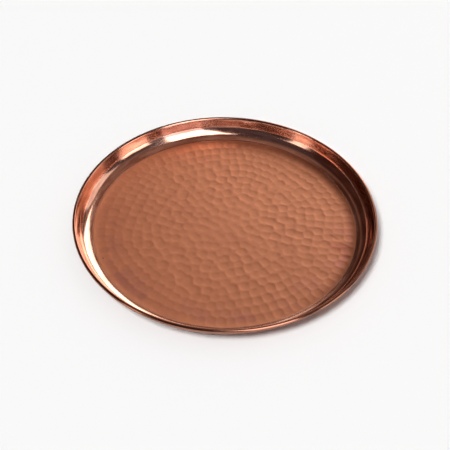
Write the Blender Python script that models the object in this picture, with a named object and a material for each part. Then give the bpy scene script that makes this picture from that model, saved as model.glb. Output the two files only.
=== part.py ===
"""Round serving tray, hammered from one copper sheet, with its rim rolled over a wire.

Metres, +Z up. The origin is the middle of the underside, on the surface that the tray
stands on. The sheet is one solid of revolution apart from its floor, whose upper side is
covered in overlapping hammer marks.
"""

import math

import bmesh
import bpy
import numpy as np
from mathutils.geometry import delaunay_2d_cdt

# The copper sheet
SHEET = 0.0008  # thickness
FLOOR_RADIUS = 0.131  # where the flat floor starts to turn up
COVE_RADIUS = 0.0135  # inside radius of the turn from floor to wall
WALL_FLARE = math.radians(17.5)  # how far the wall leans out from upright
WALL_LENGTH = 0.008  # straight part of the wall, measured up its slope

# The rolled rim
WIRE_DIAMETER = 0.0016
WIRE_CLEARANCE = 0.0003  # between the wire and the sheet rolled round it
WIRE_END_GAP = 0.003  # between the wire's two cut ends
LIP_GAP = 0.0004  # between the rolled lip and the outside of the wall

# The hammer marks
MARK_RADIUS = 0.0054  # of the dish that a blow of average weight leaves
MARK_DEPTH = 0.00020  # at the middle of that dish
DISH_POWER = 4  # 2 is a round-bottomed dish, and more is flatter with steeper sides
RING_PITCH = 0.0096  # about the distance from one ring of blows to the next
BLOW_SPACING = 0.0090  # from one blow to the next along a ring
SMOOTH_BORDER = 0.001  # plain ring between the outer marks and the turn
RING_DRIFT = 0.006  # how far the rings of marks wander from true circles
DRIFT_WAVES = (0.097, 0.163)  # lengths of the slow waves that they wander in
PLACE_SPREAD = 0.0024  # how far a blow falls from its place in its ring
DEPTH_SPREAD = 0.35  # share by which a blow is lighter or heavier
FIRST_BLOWS = 0.35  # weight of the first blows, at the middle of the tray
FULL_BLOWS_FROM = 0.040  # radius from which the blows have their full weight
BLOW_SEED = 7

# How finely round shapes are divided
ROUND_STEPS = 96
COVE_STEPS = 6
BEAD_OUTER_STEPS = 12
BEAD_INNER_STEPS = 8
WIRE_SIDES = 8
LEAST_RIDGE = 0.0009  # shorter ridges between marks close up to a point
SAME_POINT = 0.000001  # points closer than this are one
MARK_EDGE = math.radians(2.5)  # ridges between marks sharper than this stay crisp
WIRE_EDGE = math.radians(60)

# Sizes that follow from those above
BEAD_INNER = WIRE_DIAMETER / 2 + WIRE_CLEARANCE
BEAD_OUTER = BEAD_INNER + SHEET
COVE_TURN = math.pi / 2 - WALL_FLARE
UP_WALL = np.array([math.sin(WALL_FLARE), math.cos(WALL_FLARE)])
OUT_OF_WALL = np.array([math.cos(WALL_FLARE), -math.sin(WALL_FLARE)])
COVE_CENTRE = np.array([FLOOR_RADIUS, SHEET + COVE_RADIUS])
WALL_TOP = COVE_CENTRE + COVE_RADIUS * OUT_OF_WALL + WALL_LENGTH * UP_WALL
BEAD_CENTRE = WALL_TOP + BEAD_OUTER * OUT_OF_WALL
WIDEST_MARK = MARK_RADIUS * math.sqrt(1 + DEPTH_SPREAD)
MARKED_RADIUS = FLOOR_RADIUS - SMOOTH_BORDER - WIDEST_MARK
RING_COUNT = round(MARKED_RADIUS / RING_PITCH)

# Colour and roughness of each metal
COPPER = ((0.60, 0.215, 0.118, 1.0), 0.30)
STEEL = ((0.42, 0.41, 0.39, 1.0), 0.45)


def clear_scene():
    for item in list(bpy.data.objects):
        bpy.data.objects.remove(item, do_unlink=True)


def metal(name, colour, roughness):
    material = bpy.data.materials.new(name)
    material.use_nodes = True
    shader = material.node_tree.nodes["Principled BSDF"]
    shader.inputs["Base Color"].default_value = colour
    shader.inputs["Metallic"].default_value = 1.0
    shader.inputs["Roughness"].default_value = roughness
    return material


def arc(centre, radius, start, turn, steps):
    """Points of an arc in the radius-height plane, both of its ends included."""
    angle = start + turn * np.linspace(0.0, 1.0, steps + 1)
    return np.array(centre) + radius * np.column_stack([np.cos(angle), np.sin(angle)])


def rim_roll():
    """Angle that the sheet turns through round the wire before its lip meets the wall."""
    lip_reach = math.acos(min(1.0, max(-1.0, (BEAD_INNER - LIP_GAP) / BEAD_OUTER)))
    return 2 * math.pi - lip_reach


def sheet_section():
    """Section of the sheet outside its floor: cove, wall, rolled rim, and back down outside."""
    roll = rim_roll()
    wall_side = math.pi - WALL_FLARE
    inside_cove = arc(COVE_CENTRE, COVE_RADIUS, -math.pi / 2, COVE_TURN, COVE_STEPS)
    bead_outside = arc(BEAD_CENTRE, BEAD_OUTER, wall_side, -roll, BEAD_OUTER_STEPS)
    bead_inside = arc(BEAD_CENTRE, BEAD_INNER, wall_side - roll, roll, BEAD_INNER_STEPS)
    outside_cove = arc(
        COVE_CENTRE, COVE_RADIUS + SHEET, -WALL_FLARE, -COVE_TURN, COVE_STEPS
    )
    return np.vstack([inside_cove, bead_outside, bead_inside, outside_cove])


def circle(radius, steps):
    angle = 2 * math.pi * np.arange(steps) / steps
    return radius * np.column_stack([np.cos(angle), np.sin(angle)])


def hammer_blows():
    """Middle and depth of each mark, in even rings round one blow at the middle.

    The rings wander in slow waves, and each blow falls a little off its place. Both die
    away towards the outermost ring, which is true.
    """
    chance = np.random.default_rng(BLOW_SEED)
    rings = [np.zeros((1, 2))]
    for ring in range(1, RING_COUNT + 1):
        ring_radius = MARKED_RADIUS * ring / RING_COUNT
        steps = round(2 * math.pi * ring_radius / BLOW_SPACING)
        angle = 2 * math.pi * (np.arange(steps) + chance.random()) / steps
        rings.append(ring_radius * np.column_stack([np.cos(angle), np.sin(angle)]))
    middle = np.vstack(rings)
    count = len(middle)
    radius = np.hypot(middle[:, 0], middle[:, 1])
    loose = 1 - (radius / MARKED_RADIUS) ** 4
    for wave in DRIFT_WAVES:
        drift = RING_DRIFT / len(DRIFT_WAVES) * loose
        middle = middle + drift[:, None] * np.sin(2 * math.pi * middle[:, ::-1] / wave)
    off = PLACE_SPREAD * loose * np.sqrt(chance.random(count))
    way = 2 * math.pi * chance.random(count)
    middle += off[:, None] * np.column_stack([np.cos(way), np.sin(way)])
    weight = 1 + chance.uniform(-DEPTH_SPREAD, DEPTH_SPREAD, count)
    full = np.minimum(radius / FULL_BLOWS_FROM, 1)
    return middle, MARK_DEPTH * weight * (FIRST_BLOWS + (1 - FIRST_BLOWS) * full)


def floor_height(points, middle, depth):
    """Height of the marked floor: the sheet's face, or the deepest dish over that point.

    A dish is depth * (1 - (distance / width) ** power) deep, and a harder blow is wider.
    """
    width = MARK_RADIUS * np.sqrt(depth / MARK_DEPTH)
    apart = np.linalg.norm(points[:, None, :] - middle[None, :, :], axis=2)
    pressed = (depth * (1 - (apart / width) ** DISH_POWER)).max(axis=1)
    return SHEET - np.maximum(pressed, 0.0)


def circumcentres(points, triangles):
    """The point that is as far from each corner of its triangle, for every triangle."""
    a, b, c = (points[triangles[:, corner]] for corner in range(3))
    ab, ac = b - a, c - a
    twice_area = 2 * (ab[:, 0] * ac[:, 1] - ab[:, 1] * ac[:, 0])
    ab2, ac2 = (ab**2).sum(axis=1), (ac**2).sum(axis=1)
    x = (ac[:, 1] * ab2 - ab[:, 1] * ac2) / twice_area
    y = (ab[:, 0] * ac2 - ac[:, 0] * ab2) / twice_area
    return a + np.column_stack([x, y])


def ridge_lines(middle):
    """Points and lines where neighbouring marks meet: the Voronoi diagram of their middles.

    A ring of stand-in middles round the outside closes the cells of the outer marks.
    """
    ring_radius = MARKED_RADIUS + 2 * MARK_RADIUS
    ring_steps = int(2 * math.pi * ring_radius / BLOW_SPACING)
    sites = np.vstack([middle, circle(ring_radius, ring_steps)])
    triangles = np.array(delaunay_2d_cdt(sites.tolist(), [], [], 0, SAME_POINT)[2])
    corners = circumcentres(sites, triangles)

    kept = []
    nearest = {}
    for index, corner in enumerate(corners):
        if np.hypot(*corner) > FLOOR_RADIUS - SMOOTH_BORDER:
            continue
        gaps = [np.hypot(*(corner - other)) for other in kept]
        if gaps and min(gaps) < LEAST_RIDGE:
            nearest[index] = int(np.argmin(gaps))
        else:
            nearest[index] = len(kept)
            kept.append(corner)

    sides = {}
    for index, triangle in enumerate(triangles):
        for start, end in zip(triangle, np.roll(triangle, -1)):
            sides.setdefault(tuple(sorted((int(start), int(end)))), []).append(index)
    lines = set()
    for pair in sides.values():
        if len(pair) == 2 and pair[0] in nearest and pair[1] in nearest:
            line = tuple(sorted((nearest[pair[0]], nearest[pair[1]])))
            if line[0] != line[1]:
                lines.add(line)
    return np.array(kept), sorted(lines)


def hammered_floor(bm):
    """Upper side of the floor: each mark is a fan of facets from its middle to its ridges."""
    middle, depth = hammer_blows()
    ridges, lines = ridge_lines(middle)
    flat = np.vstack([ridges, middle, circle(FLOOR_RADIUS, ROUND_STEPS)])
    points, _, triangles = delaunay_2d_cdt(flat.tolist(), lines, [], 0, SAME_POINT)[:3]
    points = np.array([tuple(point) for point in points])
    heights = floor_height(points, middle, depth)
    verts = [bm.verts.new((x, y, z)) for (x, y), z in zip(points, heights)]
    for triangle in triangles:
        bm.faces.new([verts[corner] for corner in triangle])


def spun_wall(bm):
    """The sheet from the floor's edge round the rim to the underside, spun about the axis."""
    section = [bm.verts.new((radius, 0.0, height)) for radius, height in sheet_section()]
    edges = [bm.edges.new(pair) for pair in zip(section, section[1:])]
    bmesh.ops.spin(
        bm,
        geom=section + edges,
        cent=(0.0, 0.0, 0.0),
        axis=(0.0, 0.0, 1.0),
        angle=2 * math.pi,
        steps=ROUND_STEPS,
        use_merge=True,
    )


def underside(bm):
    """The flat base, one face inside the spun wall."""
    rim = circle(FLOOR_RADIUS, ROUND_STEPS)
    bm.faces.new([bm.verts.new((x, y, 0.0)) for x, y in rim])


def finish(name, bm, material, sharp_angle):
    bmesh.ops.remove_doubles(bm, verts=bm.verts, dist=SAME_POINT)
    bmesh.ops.recalc_face_normals(bm, faces=bm.faces)
    mesh = bpy.data.meshes.new(name)
    bm.to_mesh(mesh)
    bm.free()
    mesh.materials.append(material)
    mesh.shade_smooth()
    mesh.set_sharp_from_angle(angle=sharp_angle)
    item = bpy.data.objects.new(name, mesh)
    bpy.context.scene.collection.objects.link(item)
    return item


def tray_pan():
    bm = bmesh.new()
    hammered_floor(bm)
    spun_wall(bm)
    underside(bm)
    return finish("tray_pan", bm, metal("copper", *COPPER), MARK_EDGE)


def rim_wire():
    """The wire inside the rolled rim, an open hoop whose cut ends face each other at the back."""
    bm = bmesh.new()
    hoop_radius = BEAD_CENTRE[0]
    gap_angle = WIRE_END_GAP / hoop_radius
    start = math.pi / 2 + gap_angle / 2
    across = np.array([math.cos(start), math.sin(start)])
    outline = arc(BEAD_CENTRE, WIRE_DIAMETER / 2, 0.0, 2 * math.pi, WIRE_SIDES)[:-1]
    ring = [bm.verts.new((*(across * radius), height)) for radius, height in outline]
    end = bm.faces.new(ring)
    bmesh.ops.spin(
        bm,
        geom=[end],
        cent=(0.0, 0.0, 0.0),
        axis=(0.0, 0.0, 1.0),
        angle=2 * math.pi - gap_angle,
        steps=ROUND_STEPS,
    )
    return finish("rim_wire", bm, metal("steel_wire", *STEEL), WIRE_EDGE)


def main():
    clear_scene()
    tray = bpy.data.objects.new("tray", None)
    bpy.context.scene.collection.objects.link(tray)
    for piece in (tray_pan(), rim_wire()):
        piece.parent = tray


main()
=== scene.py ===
import math

import bpy
import numpy as np
from mathutils import Matrix, Vector


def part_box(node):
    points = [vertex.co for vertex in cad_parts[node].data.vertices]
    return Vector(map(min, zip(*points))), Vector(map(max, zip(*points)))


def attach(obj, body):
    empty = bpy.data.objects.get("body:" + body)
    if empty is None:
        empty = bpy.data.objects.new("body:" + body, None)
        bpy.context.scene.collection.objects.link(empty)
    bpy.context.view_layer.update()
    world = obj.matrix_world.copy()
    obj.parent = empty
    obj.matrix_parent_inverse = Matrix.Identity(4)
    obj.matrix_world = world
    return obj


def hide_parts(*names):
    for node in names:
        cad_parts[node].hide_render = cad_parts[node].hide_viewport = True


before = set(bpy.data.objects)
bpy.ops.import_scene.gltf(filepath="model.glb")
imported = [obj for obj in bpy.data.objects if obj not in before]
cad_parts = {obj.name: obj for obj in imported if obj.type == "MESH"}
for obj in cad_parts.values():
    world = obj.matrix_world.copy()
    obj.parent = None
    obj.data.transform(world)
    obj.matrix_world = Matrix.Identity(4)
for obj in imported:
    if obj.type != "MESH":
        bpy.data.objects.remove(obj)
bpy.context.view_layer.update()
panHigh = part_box("tray_pan")[1]
print("frame loaded:", ", ".join(sorted(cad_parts)))

# The copper sheet, in metres
sheet = {
    "thickness": 0.0008,
    "coveRadius": 0.0135,  # inside radius of the turn from floor to wall
    "wallFlare": math.radians(17.5),  # lean of the wall, out from upright
    "wallLength": 0.008,
    "wireDiameter": 0.0016,
    "wireClearance": 0.0003,
    "lipGap": 0.0004,  # between the rolled rim's end and the wall
    "floorRadius": 0.131,
}
beadInner = sheet["wireDiameter"] / 2 + sheet["wireClearance"]
beadOuter = beadInner + sheet["thickness"]
trayRadius = max(float(panHigh[0]), float(panHigh[1]))  # these two from the frame
trayHeight = float(panHigh[2])


def smoothStep(low, high, x):
    # s = t^2 (3 - 2t), with t running from 0 at low to 1 at high
    t = np.clip((x - low) / (high - low), 0.0, 1.0)
    return t * t * (3.0 - 2.0 * t)


def rollingNoise(x, y, waveLengths, seed):
    # n = mean over waves of sin(2 pi (x cos a + y sin a) / wave + phase), a and phase drawn once
    chance = np.random.default_rng(seed)
    total = np.zeros_like(x)
    for wave in waveLengths:
        a, phase = chance.uniform(0.0, 2.0 * math.pi, 2)
        total += np.sin(2.0 * math.pi * (x * math.cos(a) + y * math.sin(a)) / wave + phase)
    return total / len(waveLengths)


creaseAngle = math.radians(50.0)  # between faces that meet in a crisp edge


def meshFromArrays(name, points, faces, faceMaterials, materials):
    mesh = bpy.data.meshes.new(name)
    mesh.from_pydata(points.tolist(), [], faces)
    mesh.polygons.foreach_set("material_index", faceMaterials)
    mesh.polygons.foreach_set("use_smooth", np.ones(len(faces), dtype=bool))
    for material in materials:
        mesh.materials.append(material)
    mesh.validate()
    mesh.set_sharp_from_angle(angle=creaseAngle)
    mesh.update()
    piece = bpy.data.objects.new(name, mesh)
    bpy.context.scene.collection.objects.link(piece)
    return piece


def gridFaces(rows, columns, start=0, wrap=False):
    # Quads of a rows x columns grid of points numbered row by row from start
    i = np.arange(rows - 1)[:, None]
    j = np.arange(columns if wrap else columns - 1)[None, :]
    right = (j + 1) % columns
    a = start + i * columns + j
    b = start + i * columns + right
    c = start + (i + 1) * columns + right
    d = start + (i + 1) * columns + j
    return np.stack([a, b, c, d], axis=-1).reshape(-1, 4)


class Wiring:
    # Short ways to add nodes to one tree
    def __init__(self, tree):
        self.tree = tree

    def node(self, kind, **settings):
        made = self.tree.nodes.new(kind)
        for key, value in settings.items():
            setattr(made, key, value)
        return made

    def link(self, source, target):
        self.tree.links.new(source, target)

    def feed(self, socket, value):
        if isinstance(value, bpy.types.NodeSocket):
            self.link(value, socket)
        else:
            socket.default_value = value

    def group(self, group, **values):
        made = self.node("ShaderNodeGroup", node_tree=group)
        for label, value in values.items():
            self.feed(made.inputs[label], value)
        return made.outputs

    def math(self, operation, a, b=0.0, c=0.0, clamp=False):
        made = self.node("ShaderNodeMath", operation=operation, use_clamp=clamp)
        for socket, value in zip(made.inputs, (a, b, c)):
            self.feed(socket, value)
        return made.outputs[0]

    def product(self, first, *others):
        for other in others:
            first = self.math("MULTIPLY", first, other)
        return first

    def ramp(self, value, low, high, toLow=0.0, toHigh=1.0):
        # Smooth step from toLow at low to toHigh at high
        made = self.node("ShaderNodeMapRange", interpolation_type="SMOOTHSTEP")
        for label, v in (
            ("Value", value),
            ("From Min", low),
            ("From Max", high),
            ("To Min", toLow),
            ("To Max", toHigh),
        ):
            self.feed(made.inputs[label], v)
        return made.outputs[0]

    def fade(self, value, low, high):
        return self.ramp(value, low, high, 1.0, 0.0)

    def mix(self, factor, a, b, blend="MIX"):
        made = self.node("ShaderNodeMix", data_type="RGBA", blend_type=blend)
        self.feed(made.inputs[0], factor)
        self.feed(made.inputs[6], a)
        self.feed(made.inputs[7], b)
        return made.outputs[2]

    def noise(self, vector, scale, detail=2.0, roughness=0.5, distortion=0.0):
        made = self.node("ShaderNodeTexNoise")
        self.feed(made.inputs["Vector"], vector)
        self.feed(made.inputs["Scale"], scale)
        made.inputs["Detail"].default_value = detail
        made.inputs["Roughness"].default_value = roughness
        made.inputs["Distortion"].default_value = distortion
        return made.outputs["Fac"]

    def stretch(self, vector, x, y, z):
        made = self.node("ShaderNodeMapping")
        self.feed(made.inputs["Vector"], vector)
        made.inputs["Scale"].default_value = (x, y, z)
        return made.outputs[0]

    def vector(self, operation, a, b):
        made = self.node("ShaderNodeVectorMath", operation=operation)
        self.feed(made.inputs[0], a)
        self.feed(made.inputs[1], b)
        return made.outputs

    def dot(self, vector, direction):
        return self.vector("DOT_PRODUCT", vector, direction)["Value"]

    def split(self, vector):
        made = self.node("ShaderNodeSeparateXYZ")
        self.link(vector, made.inputs[0])
        return made.outputs


def groupOf(name, inputs, outputs):
    group = bpy.data.node_groups.new(name, "ShaderNodeTree")
    for label, kind, value in inputs:
        socket = group.interface.new_socket(name=label, in_out="INPUT", socket_type=kind)
        socket.default_value = value
    for label, kind in outputs:
        group.interface.new_socket(name=label, in_out="OUTPUT", socket_type=kind)
    start = group.nodes.new("NodeGroupInput")
    end = group.nodes.new("NodeGroupOutput")
    return Wiring(group), group, start.outputs, end.inputs


def buildRoundGroup():
    # Distance from the tray's axis, and the point's direction from it with its height
    w, group, given, result = groupOf(
        "roundPlace",
        [("Place", "NodeSocketVector", (0, 0, 0))],
        [
            ("Radius", "NodeSocketFloat"),
            ("Around", "NodeSocketVector"),
            ("Height", "NodeSocketFloat"),
        ],
    )
    x, y, z = w.split(given["Place"])
    radius = w.math("SQRT", w.math("ADD", w.math("MULTIPLY", x, x), w.math("MULTIPLY", y, y)))
    around = w.node("ShaderNodeCombineXYZ")
    w.link(w.math("DIVIDE", x, radius), around.inputs[0])
    w.link(w.math("DIVIDE", y, radius), around.inputs[1])
    w.link(radius, result["Radius"])
    w.link(around.outputs[0], result["Around"])
    w.link(z, result["Height"])
    return group


toneNoise = {
    "cloud": (22.0, 4.0, 0.55, 0.4),  # scale, detail, roughness and distortion
    "cloudEnds": (0.42, 0.70),  # of the noise, from clean to reddened
    "grain": (160.0, 3.0, 0.6, 0.2),
    "grainEnds": (0.45, 0.8),
    "grainShare": 0.08,
}


def buildToneGroup():
    # Copper's colour as it drifts over the sheet: clean metal, and patches that have reddened
    t = toneNoise
    w, group, given, result = groupOf(
        "copperTone",
        [
            ("Place", "NodeSocketVector", (0, 0, 0)),
            ("Clean", "NodeSocketColor", (0.8, 0.36, 0.22, 1)),
            ("Reddened", "NodeSocketColor", (0.5, 0.16, 0.12, 1)),
            ("Amount", "NodeSocketFloat", 0.3),
        ],
        [("Color", "NodeSocketColor"), ("Patch", "NodeSocketFloat")],
    )
    cloud = w.ramp(w.noise(given["Place"], *t["cloud"]), *t["cloudEnds"])
    grain = w.ramp(w.noise(given["Place"], *t["grain"]), *t["grainEnds"])
    patch = w.math("MULTIPLY", cloud, given["Amount"], clamp=True)
    patch = w.math("ADD", patch, w.math("MULTIPLY", grain, t["grainShare"]), clamp=True)
    w.link(w.mix(patch, given["Clean"], given["Reddened"]), result["Color"])
    w.link(patch, result["Patch"])
    return group


scratchNoise = {
    # noise cells in a metre along x, y and z, distortion, and the ends of the noise in a scratch
    "ways": (
        ((90.0, 1400.0, 90.0), 0.3, (0.55, 0.8)),
        ((1200.0, 140.0, 100.0), 0.5, (0.6, 0.85)),
    ),
    "detail": 2.0,
    "roughness": 0.6,
    "dulling": 0.08,
}


def buildScratchGroup():
    # Hair-fine wiping scratches in two crossing directions, as a height and a roughness change
    s = scratchNoise
    w, group, given, result = groupOf(
        "wipeScratches",
        [("Place", "NodeSocketVector", (0, 0, 0)), ("Strength", "NodeSocketFloat", 0.5)],
        [("Height", "NodeSocketFloat"), ("Dulling", "NodeSocketFloat")],
    )
    scratched = []
    for cells, distortion, ends in s["ways"]:
        place = w.stretch(given["Place"], *cells)
        noise = w.noise(place, 1.0, s["detail"], s["roughness"], distortion)
        scratched.append(w.ramp(noise, *ends))
    lines = w.math("ADD", *scratched)
    w.link(w.math("MULTIPLY", lines, given["Strength"]), result["Height"])
    w.link(w.math("MULTIPLY", lines, s["dulling"]), result["Dulling"])
    return group


spunNoise = {
    "fineness": 900.0,  # noise cells in a metre across the lines
    "shares": (("Line", 1.0), ("Band", 0.22)),  # of that fineness
    "length": 5.0,  # cells in a radian round the tray
    "detail": 2.0,
}


def buildSpunGroup():
    # Lines that polishing on a lathe leaves round the tray: noise that changes slowly round it and
    # fast across it, with the radius as the noise's fourth coordinate
    s = spunNoise
    w, group, given, result = groupOf(
        "spunLines",
        [
            ("Around", "NodeSocketVector", (0, 0, 0)),
            ("Radius", "NodeSocketFloat", 0.0),
            ("Height", "NodeSocketFloat", 0.0),
            ("Fineness", "NodeSocketFloat", s["fineness"]),
            ("Length", "NodeSocketFloat", s["length"]),
        ],
        [(label, "NodeSocketFloat") for label, share in s["shares"]],
    )
    for label, share in s["shares"]:
        fine = w.math("MULTIPLY", given["Fineness"], share)
        longWay = w.node("ShaderNodeVectorMath", operation="SCALE")
        w.link(given["Around"], longWay.inputs[0])
        w.link(given["Length"], longWay.inputs["Scale"])
        up = w.node("ShaderNodeCombineXYZ")
        w.link(w.math("MULTIPLY", given["Height"], fine), up.inputs[2])
        noise = w.node("ShaderNodeTexNoise", noise_dimensions="4D")
        w.link(w.vector("ADD", longWay.outputs[0], up.outputs[0])[0], noise.inputs["Vector"])
        w.link(w.math("MULTIPLY", given["Radius"], fine), noise.inputs["W"])
        noise.inputs["Scale"].default_value = 1.0
        noise.inputs["Detail"].default_value = s["detail"]
        w.link(noise.outputs["Fac"], result[label])
    return group


# Painted shade on the satin floor's colour
paintedShade = {
    "rightShade": (0.67, 0.67, 0.67, 1.0),  # painted shade, what the right side's colour is multiplied by
    "rightShadeAcross": (-0.12, 0.12),
    "corner": (0.50, 0.42, 0.38, 1.0),  # painted shade, multiplies the colour by the wall
    "cornerRing": (0.119, 0.1312),
    "cornerFacing": (0.35, 0.95),  # cosines of the angle from the right side
}


def buildPaintedShadeGroup():
    # Painted shade on the floor's colour: darker to the right, and darkest in its corner with the
    # wall there
    w, group, given, result = groupOf(
        "floorPaintedShade",
        [
            ("Place", "NodeSocketVector", (0, 0, 0)),
            ("Radius", "NodeSocketFloat", 0.0),
            ("Clean", "NodeSocketColor", (0.8, 0.36, 0.22, 1)),
        ],
        [("Color", "NodeSocketColor")],
    )
    across, radius = w.split(given["Place"])[0], given["Radius"]
    shadeToRight = w.ramp(across, *paintedShade["rightShadeAcross"])
    colour = w.mix(shadeToRight, given["Clean"], paintedShade["rightShade"], "MULTIPLY")
    facing = w.ramp(w.math("DIVIDE", across, radius), *paintedShade["cornerFacing"])
    corner = w.math("MULTIPLY", w.ramp(radius, *paintedShade["cornerRing"]), facing)
    w.link(w.mix(corner, colour, paintedShade["corner"], "MULTIPLY"), result["Color"])
    return group


roundGroup = buildRoundGroup()
toneGroup = buildToneGroup()
scratchGroup = buildScratchGroup()
spunGroup = buildSpunGroup()
paintedShadeGroup = buildPaintedShadeGroup()
print("materials: groups for tone, patina, scratches and spun lines")


def newMetal(name):
    material = bpy.data.materials.new(name)
    material.use_nodes = True
    tree = material.node_tree
    shader = tree.nodes["Principled BSDF"].inputs
    shader["Metallic"].default_value = 1.0
    w = Wiring(tree)
    place = w.node("ShaderNodeTexCoord").outputs["Object"]
    return material, w, shader, place


def addRelief(w, shader, height, strength, distance):
    bump = w.node("ShaderNodeBump")
    bump.inputs["Strength"].default_value = strength
    bump.inputs["Distance"].default_value = distance
    w.link(height, bump.inputs["Height"])
    w.link(bump.outputs[0], shader["Normal"])


satinFinish = {
    "colour": (0.81, 0.345, 0.190, 1.0),
    "hollows": (0.77, 0.324, 0.177, 1.0),  # at the bottom of the marks, where no cloth reaches
    "reddened": (0.55, 0.190, 0.138, 1.0),
    "patches": 0.25,
    "roughness": 0.50,
    "lowAngle": (0.38, 0.72),  # from facing the eye to seen edge on
    "lowAngleRoughness": 0.22,
    "wornFrom": 0.00022,  # depth under the sheet's face where the hollows' tone is full
    "wornTo": 0.00006,
    "tarnish": (0.50, 0.196, 0.177, 1.0),
    "tarnishRing": (0.094, 0.120),  # radii between which it comes in
    "tarnishEnds": (0.124, 0.129),
    "tarnishAmount": 0.46,
    "tarnishMost": (0.0, -1.0, 0.0),  # towards the front
    "tarnishFacing": (-0.45, 0.15),  # cosines of the angle from there
    "tarnishNoise": (34.0, 3.0, 0.6, 0.6),  # scale, detail, roughness and distortion
    "tarnishClouds": (0.42, 0.70),
    "blemishes": (  # place, radius and colour of a pit and a nick
        ((-0.1172, -0.0475, 0.0008), 0.0009, (0.10, 0.035, 0.025, 1.0)),
        ((-0.0668, 0.0483, 0.0008), 0.0007, (0.95, 0.62, 0.48, 1.0)),
    ),
    "blemishCore": 0.4,  # share of the radius that has the full colour
    "stains": (  # place, turn, half length and half width, and what it multiplies the colour by
        ((0.1204, -0.0266), -30.0, 0.0105, 0.0024, (0.60, 0.52, 0.52, 1.0)),
        ((0.1085, -0.0144), -44.0, 0.0075, 0.0022, (0.76, 0.68, 0.74, 1.0)),
        ((0.1190, -0.0400), -20.0, 0.0062, 0.0040, (0.70, 0.62, 0.62, 1.0)),
        ((0.1130, -0.0290), -35.0, 0.0150, 0.0100, (0.90, 0.80, 0.88, 1.0)),
    ),
    "stainCore": 0.2,
    "scratches": 0.5,
    "relief": (0.05, 0.00005),  # strength and height of the scratches
}


def buildSatinCopper():
    # The hammered floor: satin, brighter along the ridges, with purple tarnish near its edge
    f = satinFinish
    material, w, shader, place = newMetal("hammeredCopper")
    radius, around, height = w.group(roundGroup, Place=place)
    tone = w.group(
        toneGroup, Place=place, Clean=f["colour"], Reddened=f["reddened"], Amount=f["patches"]
    )
    face = sheet["thickness"]
    inHollow = w.fade(height, face - f["wornFrom"], face - f["wornTo"])
    colour = w.mix(inHollow, tone["Color"], f["hollows"])
    # Painted shade: darker to the right, and in the corner with the wall
    colour = w.group(paintedShadeGroup, Place=place, Radius=radius, Clean=colour)["Color"]
    clouds = w.noise(w.stretch(place, 1.0, 1.0, 0.0), *f["tarnishNoise"])
    tarnished = w.product(
        w.ramp(radius, *f["tarnishRing"]),
        w.fade(radius, *f["tarnishEnds"]),
        w.ramp(w.dot(around, f["tarnishMost"]), *f["tarnishFacing"]),
        w.ramp(clouds, *f["tarnishClouds"]),
        f["tarnishAmount"],
    )
    colour = w.mix(tarnished, colour, f["tarnish"])
    for centre, size, blemish in f["blemishes"]:
        apart = w.vector("DISTANCE", place, centre)["Value"]
        colour = w.mix(w.fade(apart, f["blemishCore"] * size, size), colour, blemish)
    for centre, turn, halfLength, halfWidth, tint in f["stains"]:
        local = w.node("ShaderNodeMapping", vector_type="TEXTURE")
        w.link(place, local.inputs["Vector"])
        local.inputs["Location"].default_value = (*centre, 0.0)
        local.inputs["Rotation"].default_value = (0.0, 0.0, math.radians(turn))
        local.inputs["Scale"].default_value = (halfLength, halfWidth, 1.0)
        apart = w.vector("DISTANCE", local.outputs[0], (0.0, 0.0, 0.0))["Value"]
        colour = w.mix(w.fade(apart, f["stainCore"], 1.0), colour, tint, "MULTIPLY")
    w.link(colour, shader["Base Color"])
    scratches = w.group(scratchGroup, Place=place, Strength=f["scratches"])
    # Satin metal turns glossier where it is seen at a low angle
    facing = w.node("ShaderNodeLayerWeight").outputs["Facing"]
    roughness = w.node("ShaderNodeMix", data_type="FLOAT")
    w.feed(roughness.inputs[0], w.ramp(facing, *f["lowAngle"]))
    w.feed(roughness.inputs[2], w.math("ADD", f["roughness"], scratches["Dulling"]))
    w.feed(roughness.inputs[3], f["lowAngleRoughness"])
    w.link(roughness.outputs[0], shader["Roughness"])
    addRelief(w, shader, scratches["Height"], *f["relief"])
    return material


wallFinish = {
    "colour": (0.90, 0.54, 0.41, 1.0),
    "dulled": (0.62, 0.30, 0.21, 1.0),
    "patches": 0.35,
    "roughness": 0.14,
    "seamRoughness": 0.50,
    "satinTo": 0.1302,  # radius where the floor's satin starts to turn to polish
    "polishedFrom": (0.1335, 0.1317),  # at the left and at the right
    "polishAcross": (-0.13, 0.0),
    "lineDulling": 0.10,
    "paintedRimShade": (0.34, 0.15, 0.098, 1.0),  # painted shade, for the dark surroundings that the rim's outer side reflects
    "rimShadeFrom": 0.1455,
    "rimShadeTo": (0.1484, 0.1470),  # round most of the rim, and at the front left
    "rimShadeMost": (-0.8, -0.6, 0.0),  # towards the front left
    "rimShadeFacing": (0.35, 0.85),
    "paintedCoveShade": (0.25, 0.19, 0.17, 1.0),  # painted shade, multiplies the colour where the cove starts, at the right
    "coveShadeRing": (0.1300, 0.1310),
    "coveShadeEnds": (0.1338, 0.1360),
    "coveShadeFacing": (0.55, 0.95),  # cosines of the angle from the right side
    "streaks": (0.36, 0.62),  # of the spun bands' noise, from dulled to clean metal
    "relief": (0.15, 0.00004),  # strength and height of the lines
}


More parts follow.
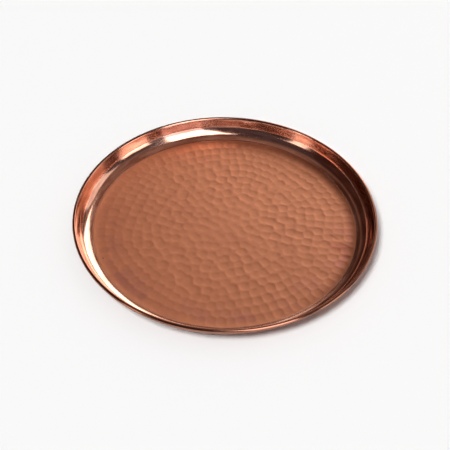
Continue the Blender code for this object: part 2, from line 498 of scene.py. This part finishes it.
def buildSpunCopper():
    # The polished cove, wall and rim: lathe lines stretch each reflection across them
    f = wallFinish
    material, w, shader, place = newMetal("spunCopper")
    radius, around, height = w.group(roundGroup, Place=place)
    across = w.split(place)[0]
    polishedFrom = w.ramp(across, *f["polishAcross"], *f["polishedFrom"])
    polish = w.ramp(radius, f["satinTo"], polishedFrom)
    lines = w.group(spunGroup, Around=around, Radius=radius, Height=height)
    streaked = w.mix(w.ramp(lines["Band"], *f["streaks"]), f["dulled"], f["colour"])
    tone = w.group(
        toneGroup, Place=place, Clean=streaked, Reddened=f["dulled"], Amount=f["patches"]
    )
    # The floor's satin colour, with its painted shade, where the cove starts
    satin = w.group(paintedShadeGroup, Place=place, Radius=radius, Clean=satinFinish["colour"])
    colour = w.mix(polish, satin["Color"], tone["Color"])
    # Painted shade where the cove starts, at the right
    paintedCoveShade = w.product(
        w.ramp(w.math("DIVIDE", across, radius), *f["coveShadeFacing"]),
        w.ramp(radius, *f["coveShadeRing"]),
        w.fade(radius, *f["coveShadeEnds"]),
    )
    colour = w.mix(paintedCoveShade, colour, f["paintedCoveShade"], "MULTIPLY")
    # Painted shade on the rim's outer side, for the dark surroundings it reflects
    rimShadeTo = w.ramp(w.dot(around, f["rimShadeMost"]), *f["rimShadeFacing"], *f["rimShadeTo"])
    paintedRimShade = w.ramp(radius, f["rimShadeFrom"], rimShadeTo)
    w.link(w.mix(paintedRimShade, colour, f["paintedRimShade"]), shader["Base Color"])
    uneven = w.math("SUBTRACT", lines["Band"], 0.5)  # 0.5 is the noise's mean
    base = w.math("MULTIPLY_ADD", polish, f["roughness"] - f["seamRoughness"], f["seamRoughness"])
    w.link(w.math("MULTIPLY_ADD", uneven, f["lineDulling"], base), shader["Roughness"])
    addRelief(w, shader, lines["Line"], *f["relief"])
    return material


outsideFinish = {
    # partly the metal's darker tone and partly painted shade, for the dark surroundings that the
    # outside reflects
    "colour": (0.40, 0.165, 0.10, 1.0),
    "reddened": (0.22, 0.085, 0.06, 1.0),
    "patches": 0.6,
    "patchDulling": 0.15,
    "roughness": 0.34,
    "scratches": 1.0,
    "relief": (0.08, 0.00006),  # strength and height of the scratches
}


def buildOutsideCopper():
    # The underside, the wall's outside and the inside of the rolled rim, whose dark colour is
    # partly the metal's darker tone and partly painted shade
    f = outsideFinish
    material, w, shader, place = newMetal("darkOutsideCopper")
    tone = w.group(
        toneGroup, Place=place, Clean=f["colour"], Reddened=f["reddened"], Amount=f["patches"]
    )
    w.link(tone["Color"], shader["Base Color"])
    scratches = w.group(scratchGroup, Place=place, Strength=f["scratches"])
    worn = w.math("MULTIPLY_ADD", tone["Patch"], f["patchDulling"], f["roughness"])
    w.link(w.math("ADD", worn, scratches["Dulling"]), shader["Roughness"])
    addRelief(w, shader, scratches["Height"], *f["relief"])
    return material


satinCopper = buildSatinCopper()
spunCopper = buildSpunCopper()
outsideCopper = buildOutsideCopper()
print("materials: satin, spun and outside copper")

floorShape = {
    "across": 520,  # quads across the upper side, a multiple of 4
    "seamRadius": 0.1302,  # where the floor meets the wall piece, on the plain border
    "markRadius": 0.0054,  # of the dish that a blow of average weight leaves
    "markDepth": 0.00020,  # at the middle of that dish
    "dishPower": 3.0,  # 2 is a round-bottomed dish, and more is flatter with steeper sides
    "ringPitch": 0.0096,  # about the distance between rings of blows
    "blowSpacing": 0.0090,  # along a ring
    "smoothBorder": 0.001,
    "rowDrift": 0.006,  # how far the rings wander from true circles
    "driftWaves": (0.097, 0.163),
    "placeSpread": 0.0030,
    "depthSpread": 0.35,
    "firstBlows": 0.28,  # weight of the first blows, at the middle of the tray
    "fullBlowsFrom": 0.054,  # radius from which the blows have their full weight
    "blowSeed": 7,
    "crisp": 1.38,  # what the marks' depth is multiplied by at the middle
    "crispAcross": 0.52,  # and how much more at the right, and less at the left
    "crispBack": 0.22,
    "ridgeSoftness": 0.00006,  # how softly two marks blend where they meet
    "printThrough": 0.00006,  # how far the marks show on the underside
    "upperFade": (0.0012, 0.0002),  # distances from the seam between which the marks fade
    "lowerFade": (0.012, 0.002),
}


def hammerBlows():
    # Ring k of n has its blows evenly round the radius edge k / n, from a chance start. The rings
    # wander by drift * (sin(2 pi y / wave), sin(2 pi x / wave)) and each blow lands within
    # placeSpread of its place, both times 1 - (r / edge)^4.
    f = floorShape
    widest = f["markRadius"] * math.sqrt(1 + f["depthSpread"])
    edge = sheet["floorRadius"] - f["smoothBorder"] - widest
    chance = np.random.default_rng(f["blowSeed"])
    rings = round(edge / f["ringPitch"])
    middle = [np.zeros((1, 2))]
    for ring in range(1, rings + 1):
        ringRadius = edge * ring / rings
        steps = round(2 * math.pi * ringRadius / f["blowSpacing"])
        angle = 2 * math.pi * (np.arange(steps) + chance.random()) / steps
        middle.append(ringRadius * np.column_stack([np.cos(angle), np.sin(angle)]))
    middle = np.vstack(middle)
    count = len(middle)
    radius = np.hypot(middle[:, 0], middle[:, 1])
    loose = 1 - (radius / edge) ** 4
    for wave in f["driftWaves"]:
        drift = f["rowDrift"] / len(f["driftWaves"]) * loose
        middle = middle + drift[:, None] * np.sin(2 * math.pi * middle[:, ::-1] / wave)
    off = f["placeSpread"] * loose * np.sqrt(chance.random(count))
    way = 2 * math.pi * chance.random(count)
    middle += off[:, None] * np.column_stack([np.cos(way), np.sin(way)])
    weight = 1 + chance.uniform(-f["depthSpread"], f["depthSpread"], count)
    full = np.minimum(radius / f["fullBlowsFrom"], 1)
    return middle, f["markDepth"] * weight * (f["firstBlows"] + (1 - f["firstBlows"]) * full)


def pressedDepth(x, y, middle, depth):
    # Depth = soft maximum, over the blows and over 0, of depth_i (1 - (d_i / width_i)^power):
    # softness * log(1 + sum exp(depth / softness)), with width_i as the root of depth_i
    f = floorShape
    soft = f["ridgeSoftness"]
    width = f["markRadius"] * np.sqrt(depth / f["markDepth"])
    pressed = np.empty(x.size)
    flatX, flatY = x.ravel(), y.ravel()
    step = 4096  # points at a time, to keep the arrays small
    farShare = 1.5  # past it a blow no longer counts
    for start in range(0, x.size, step):
        part = slice(start, start + step)
        apart = np.hypot(flatX[part, None] - middle[:, 0], flatY[part, None] - middle[:, 1])
        share = np.minimum(apart / width, farShare)
        each = depth * (1 - share ** f["dishPower"]) / soft
        most = np.maximum(each.max(axis=1), 0.0)
        total = np.exp(each - most[:, None]).sum(axis=1) + np.exp(-most)
        pressed[part] = soft * (most + np.log(total))
    return pressed.reshape(x.shape)


def discGrid(across, radius):
    # A square grid bent to a disc of equal cells: the larger of |a|, |b| is the ring,
    # and the smaller over it is the share of a quarter turn
    line = np.linspace(-1.0, 1.0, across + 1)
    a, b = np.meshgrid(line, line, indexing="xy")
    wide = np.abs(a) > np.abs(b)
    ring = np.where(wide, a, b)
    small = np.where(wide, b, a)
    share = np.divide(small, ring, out=np.zeros_like(small), where=ring != 0)
    turn = np.where(wide, share * math.pi / 4, math.pi / 2 - share * math.pi / 4)
    return radius * ring * np.cos(turn), radius * ring * np.sin(turn)


def edgeLoop(rows, columns):
    # Numbers of a grid's outer points, anticlockwise from its first corner
    number = np.arange(rows * columns).reshape(rows, columns)
    return np.concatenate([number[0, :-1], number[:-1, -1], number[-1, :0:-1], number[:0:-1, 0]])


def gridNormals(x, y, z):
    # n = P_u x P_v, with central differences along the grid's two directions
    u = np.stack([np.gradient(v, axis=1) for v in (x, y, z)], axis=-1)
    v = np.stack([np.gradient(v, axis=0) for v in (x, y, z)], axis=-1)
    normal = np.cross(u, v)
    return normal / np.linalg.norm(normal, axis=-1, keepdims=True)


def insideSeam(x, y, fade):
    # 1 inside, and 0 near the seam: 1 - smooth step of the radius between two distances from it
    seam = floorShape["seamRadius"]
    return 1.0 - smoothStep(seam - fade[0], seam - fade[1], np.hypot(x, y))


def quarterOf(values, row, column, cells):
    # One quarter of a grid with twice that number of cells each way, as a list of points
    rows = slice(row * cells, (row + 1) * cells + 1)
    columns = slice(column * cells, (column + 1) * cells + 1)
    return values[rows, columns].reshape(-1, 3)


def buildFloor():
    # Upper side z = thickness - pressed(x, y) * (crisp + across * x / R + back * y / R), as wiping
    # has worn the marks to the front left. Lower side z = print-through of the same marks. In four
    # quarters, whose sides join every two cells of the upper grid to one of the lower.
    f = floorShape
    seam = f["seamRadius"]
    middle, depth = hammerBlows()
    fine = f["across"] // 2  # cells along a quarter
    coarse = fine // 2
    x, y = discGrid(2 * fine, seam)
    crisp = f["crisp"] + f["crispAcross"] * x / seam + f["crispBack"] * y / seam
    pressed = pressedDepth(x, y, middle, depth) * insideSeam(x, y, f["upperFade"])
    z = sheet["thickness"] - pressed * crisp
    upper = np.stack([x, y, z], axis=-1)
    upperNormals = gridNormals(x, y, z)
    x, y = discGrid(2 * coarse, seam)
    shallow = np.clip(1.0 - pressedDepth(x, y, middle, depth) / f["markDepth"], 0.0, 1.0)
    z = f["printThrough"] * shallow * insideSeam(x, y, f["lowerFade"])
    lower = np.stack([x, y, z], axis=-1)

    count = (fine + 1) ** 2
    topFaces = gridFaces(fine + 1, fine + 1)
    bottomFaces = gridFaces(coarse + 1, coarse + 1, start=count)[:, ::-1]
    outer = edgeLoop(fine + 1, fine + 1)
    inner = edgeLoop(coarse + 1, coarse + 1) + count
    corners = [np.roll(outer, -2)[0::2], outer[1::2], outer[0::2], inner, np.roll(inner, -1)]
    sides = np.column_stack(corners)
    faces = topFaces.tolist() + bottomFaces.tolist() + sides.tolist()
    underside = np.zeros(len(faces), dtype=np.int32)
    underside[len(topFaces) : len(topFaces) + len(bottomFaces)] = 1
    quarters = []
    for row in (0, 1):
        for column in (0, 1):
            top = quarterOf(upper, row, column, fine)
            points = np.vstack([top, quarterOf(lower, row, column, coarse)])
            name = "hammered_floor_%d%d" % (row, column)
            piece = meshFromArrays(name, points, faces, underside, [satinCopper, outsideCopper])
            loopNormals = np.zeros((len(piece.data.loops), 3))
            topNormals = quarterOf(upperNormals, row, column, fine)
            loopNormals[: topFaces.size] = topNormals[topFaces.ravel()]
            piece.data.normals_split_custom_set(loopNormals.tolist())
            quarters.append(piece)
    return quarters


floorQuarters = buildFloor()
print("hammered floor:", sum(len(piece.data.polygons) for piece in floorQuarters), "faces")

wallShape = {
    "columns": 960,
    "coveSteps": 14,
    "wallSteps": 4,
    "beadSteps": 22,
    "insideBeadSteps": 8,
    "flatInside": (0.1302, 0.1306),  # radii of plain rings before the cove starts
    "wave": 0.00018,  # how far the polished wall strays from true
    "waveLengths": (0.021, 0.034, 0.047, 0.083),
    "waveSeed": 3,
    "waveFrom": (0.1, 0.5),  # shares of the tray's height between which it comes in
    "waveTo": (0.80, 0.95),  # and goes out
}


def wallSection():
    # Profile (radius, height) from the floor's seam up the cove and wall, round the bead,
    # back inside it and down the outside to the underside: arcs c + r (cos t, sin t)
    s, f = sheet, wallShape
    flare = s["wallFlare"]
    up = np.array([math.sin(flare), math.cos(flare)])
    out = np.array([math.cos(flare), -math.sin(flare)])

    def arc(centre, radius, start, turn, steps):
        t = start + turn * np.linspace(0.0, 1.0, steps + 1)
        return centre + radius * np.column_stack([np.cos(t), np.sin(t)])

    coveCentre = np.array([s["floorRadius"], s["thickness"] + s["coveRadius"]])
    coveTurn = math.pi / 2 - flare
    wallTop = coveCentre + s["coveRadius"] * out + s["wallLength"] * up
    beadCentre = wallTop + beadOuter * out
    roll = 2 * math.pi - math.acos((beadInner - s["lipGap"]) / beadOuter)
    wallSide = math.pi - flare
    flats = np.array([[r, s["thickness"]] for r in f["flatInside"]])
    cove = arc(coveCentre, s["coveRadius"], -math.pi / 2, coveTurn, f["coveSteps"])
    share = np.linspace(0.0, 1.0, f["wallSteps"] + 1)[1:-1, None]
    wall = cove[-1] + share * (wallTop - cove[-1])
    beadOut = arc(beadCentre, beadOuter, wallSide, -roll, f["beadSteps"])
    beadIn = arc(beadCentre, beadInner, wallSide - roll, roll, f["insideBeadSteps"])
    coveOut = arc(coveCentre, s["coveRadius"] + s["thickness"], -flare, -coveTurn, f["coveSteps"])
    flatsOut = np.array([[r, 0.0] for r in f["flatInside"][::-1]])
    section = np.vstack([flats, cove, wall, beadOut, beadIn, coveOut, flatsOut])
    insideCount = len(flats) + len(cove) + len(wall) + len(beadOut)
    return section, insideCount


def buildWall():
    # Point = (r cos a, r sin a, h), with r and h moved along the profile's normal by a slow wave
    f = wallShape
    section, insideCount = wallSection()
    rows, columns = len(section), f["columns"]
    ahead = np.roll(section, -1, axis=0) - np.roll(section, 1, axis=0)
    normal = np.column_stack([-ahead[:, 1], ahead[:, 0]])
    normal /= np.linalg.norm(normal, axis=1)[:, None]
    angle = 2 * math.pi * np.arange(columns) / columns
    height = section[:, 1] / trayHeight
    onWall = smoothStep(*f["waveFrom"], height) * (1.0 - smoothStep(*f["waveTo"], height))
    a, h = np.meshgrid(angle, section[:, 1], indexing="xy")
    x, y = np.cos(a) * trayRadius, np.sin(a) * trayRadius + h
    wave = rollingNoise(x, y, f["waveLengths"], f["waveSeed"])
    shift = f["wave"] * wave * onWall[:, None]
    radius = section[:, 0, None] + normal[:, 0, None] * shift
    z = section[:, 1, None] + normal[:, 1, None] * shift
    points = np.stack([radius * np.cos(a), radius * np.sin(a), z], axis=-1).reshape(-1, 3)
    closing = gridFaces(2, columns, wrap=True)  # from the last row back to the first
    closing = np.where(closing >= columns, closing - columns, closing + (rows - 1) * columns)
    faces = np.vstack([gridFaces(rows, columns, wrap=True), closing])
    outside = np.ones(len(faces), dtype=np.int32)
    outside[: (insideCount - 1) * columns] = 0
    metals = [spunCopper, outsideCopper]
    return meshFromArrays("wall_and_rim", points, faces.tolist(), outside, metals)


wallAndRim = buildWall()
print("wall and rim:", len(wallAndRim.data.polygons), "faces")

wireFinish = {
    "colour": (0.40, 0.39, 0.37, 1.0),
    "streakColour": (0.2, 0.19, 0.18, 1),
    "streaks": (900.0, 3.0, 0.6),  # scale, detail and roughness of the noise
    "streakAmount": 0.5,
    "roughness": (0.32, 0.2),  # the least, and how much the streaks add
}


def buildWireSteel():
    f = wireFinish
    material, w, shader, place = newMetal("drawnWire")
    streak = w.noise(place, *f["streaks"])
    amount = w.math("MULTIPLY", streak, f["streakAmount"])
    w.link(w.mix(amount, f["colour"], f["streakColour"]), shader["Base Color"])
    least, more = f["roughness"]
    w.link(w.math("MULTIPLY_ADD", streak, more, least), shader["Roughness"])
    return material


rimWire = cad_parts["rim_wire"]
wireSteel = buildWireSteel()
for slot in rimWire.material_slots:
    slot.material = wireSteel

for piece in (*floorQuarters, wallAndRim):
    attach(piece, "root")
    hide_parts("tray_pan")
print("pieces ride on the tray's body")

stage = {
    "tableHalfWidth": 6.0,
    "tableDrop": 0.00005,  # under the tray, so that they don't share a plane
    "tableColour": (0.913, 0.943, 0.948, 1.0),
    "tableRoughness": 0.9,
    "tableSpecular": 0.1,
    "keyFrom": (-0.30, -0.42, 0.86),
    "keyStrength": 2.7,
    "keyAngle": math.radians(20.0),
    "fillFrom": (0.0, 0.0, 1.0),
    "fillStrength": 0.58,
    "fillAngle": math.radians(160.0),
    "horizon": (0.935, 0.935, 0.935, 1.0),
    "horizonTo": (0.0, 0.11),  # heights of a unit direction where the pale horizon fades out
    "dimWarm": (0.050, 0.023, 0.017, 1.0),
    "dimCool": (0.066, 0.050, 0.058, 1.0),
    "coolSide": (0.50, -0.60, 0.60),  # the dim room is cooler towards here
    "coolWidth": (-0.2, 0.7),
    "glow": (0.25, 0.165, 0.137, 1.0),  # a warm ceiling, high behind the tray on the right
    "glowFrom": (0.287, 0.497, 0.819),
    "glowWidth": (0.58, 0.98),  # cosines from its edge to where it is full
    "cameraDistance": 0.95,
    "cameraElevation": math.radians(45.12),
    "cameraRoll": math.radians(0.88),
    "focalPixels": 949.8,
    "imagePixels": 450.0,
    "sensor": 36.0,
}
softBoxes = [
    # name, azimuth (0 behind the camera, 90 right), elevation, width and height in degrees,
    # radiance and colour
    ("boxFrontRight", 32.0, 49.0, 30.0, 50.0, 3.3, (1.0, 0.99, 1.0)),
    ("boxFrontRightLow", 32.0, 12.0, 30.0, 24.0, 1.35, (1.0, 0.97, 1.06)),
    ("boxBackRight", 160.5, 20.0, 27.0, 40.0, 2.75, (1.0, 0.98, 0.96)),
    ("boxFrontLeft", -58.0, 18.0, 14.0, 36.0, 1.6, (1.0, 0.96, 0.92)),
    ("boxRight", 72.0, 12.0, 22.0, 26.0, 2.0, (1.0, 0.98, 0.95)),
    ("boxHaze", 116.0, 19.0, 30.0, 36.0, 0.75, (1.0, 0.95, 0.90)),
    ("boxBackSkirt", 179.0, 18.0, 9.0, 36.0, 0.6, (1.0, 0.96, 0.90)),
]
boxDistance = 2.0
boxWatts = 4.0  # on each square metre of a box, for a radiance of 1


def buildTable():
    s = stage
    half, z = s["tableHalfWidth"], -s["tableDrop"]
    points = np.array([[-half, -half, z], [half, -half, z], [half, half, z], [-half, half, z]])
    material = bpy.data.materials.new("paleTable")
    material.use_nodes = True
    shader = material.node_tree.nodes["Principled BSDF"]
    shader.inputs["Base Color"].default_value = s["tableColour"]
    shader.inputs["Roughness"].default_value = s["tableRoughness"]
    shader.inputs["Specular IOR Level"].default_value = s["tableSpecular"]
    return meshFromArrays("table", points, [[0, 1, 2, 3]], np.zeros(1, dtype=np.int32), [material])


def hangLamp(name, light, away):
    # A lamp that shines towards the tray, from the direction away
    lamp = bpy.data.objects.new(name, light)
    bpy.context.scene.collection.objects.link(lamp)
    lamp.rotation_euler = away.to_track_quat("Z", "Y").to_euler()
    return lamp


def addSoftBox(name, azimuth, elevation, wide, high, radiance, colour):
    # Stands at boxDistance along (sin az cos el, -cos az cos el, sin el), faces the tray, and
    # shows only in its gloss
    az, el = math.radians(azimuth), math.radians(elevation)
    away = Vector((math.sin(az) * math.cos(el), -math.cos(az) * math.cos(el), math.sin(el)))
    light = bpy.data.lights.new(name, "AREA")
    light.shape = "RECTANGLE"
    light.size = 2 * boxDistance * math.tan(math.radians(wide) / 2)
    light.size_y = 2 * boxDistance * math.tan(math.radians(high) / 2)
    light.color = colour
    light.energy = radiance * boxWatts * light.size * light.size_y
    lamp = hangLamp(name, light, away)
    lamp.location = away * boxDistance
    lamp.visible_camera = False
    lamp.visible_diffuse = False


def addSun(name, comesFrom, strength, angle):
    # Lights the table, with the tray's shadow on it, and stays out of the metal's gloss
    light = bpy.data.lights.new(name, "SUN")
    light.energy = strength
    light.angle = angle
    hangLamp(name, light, Vector(comesFrom)).visible_glossy = False


def buildWorld():
    # A pale horizon, and above it a dim room: colour = horizon where the direction is low, else a
    # mix of warm and cool dims and a glow by the direction's dot products with where they are
    s = stage
    world = bpy.data.worlds.new("studio")
    bpy.context.scene.world = world
    world.use_nodes = True
    w = Wiring(world.node_tree)
    way = w.node("ShaderNodeTexCoord").outputs["Generated"]
    dim = w.mix(w.ramp(w.dot(way, s["coolSide"]), *s["coolWidth"]), s["dimWarm"], s["dimCool"])
    dim = w.mix(w.ramp(w.dot(way, s["glowFrom"]), *s["glowWidth"]), dim, s["glow"])
    high = w.ramp(w.split(way)[2], *s["horizonTo"])
    w.link(w.mix(high, s["horizon"], dim), world.node_tree.nodes["Background"].inputs["Color"])


def placeCamera():
    s = stage
    e = s["cameraElevation"]
    data = bpy.data.cameras.new("camera")
    data.sensor_width = s["sensor"]
    data.lens = s["focalPixels"] / s["imagePixels"] * s["sensor"]
    camera = bpy.data.objects.new("camera", data)
    bpy.context.scene.collection.objects.link(camera)
    back = Vector((0.0, -math.cos(e), math.sin(e)))
    right = Vector((1.0, 0.0, 0.0))
    up = back.cross(right)
    roll = s["cameraRoll"]
    turnedRight = right * math.cos(roll) + up * math.sin(roll)
    turnedUp = up * math.cos(roll) - right * math.sin(roll)
    target = Vector((0.0, 0.0, sheet["thickness"]))
    matrix = Matrix((turnedRight, turnedUp, back)).transposed().to_4x4()
    matrix.translation = target + back * s["cameraDistance"]
    camera.matrix_world = matrix
    bpy.context.scene.camera = camera


table = buildTable()
for box in softBoxes:
    addSoftBox(*box)
addSun("keySun", stage["keyFrom"], stage["keyStrength"], stage["keyAngle"])
addSun("fillSun", stage["fillFrom"], stage["fillStrength"], stage["fillAngle"])
buildWorld()
placeCamera()
bpy.context.scene.view_settings.view_transform = "Standard"
print("stage, light and camera set")
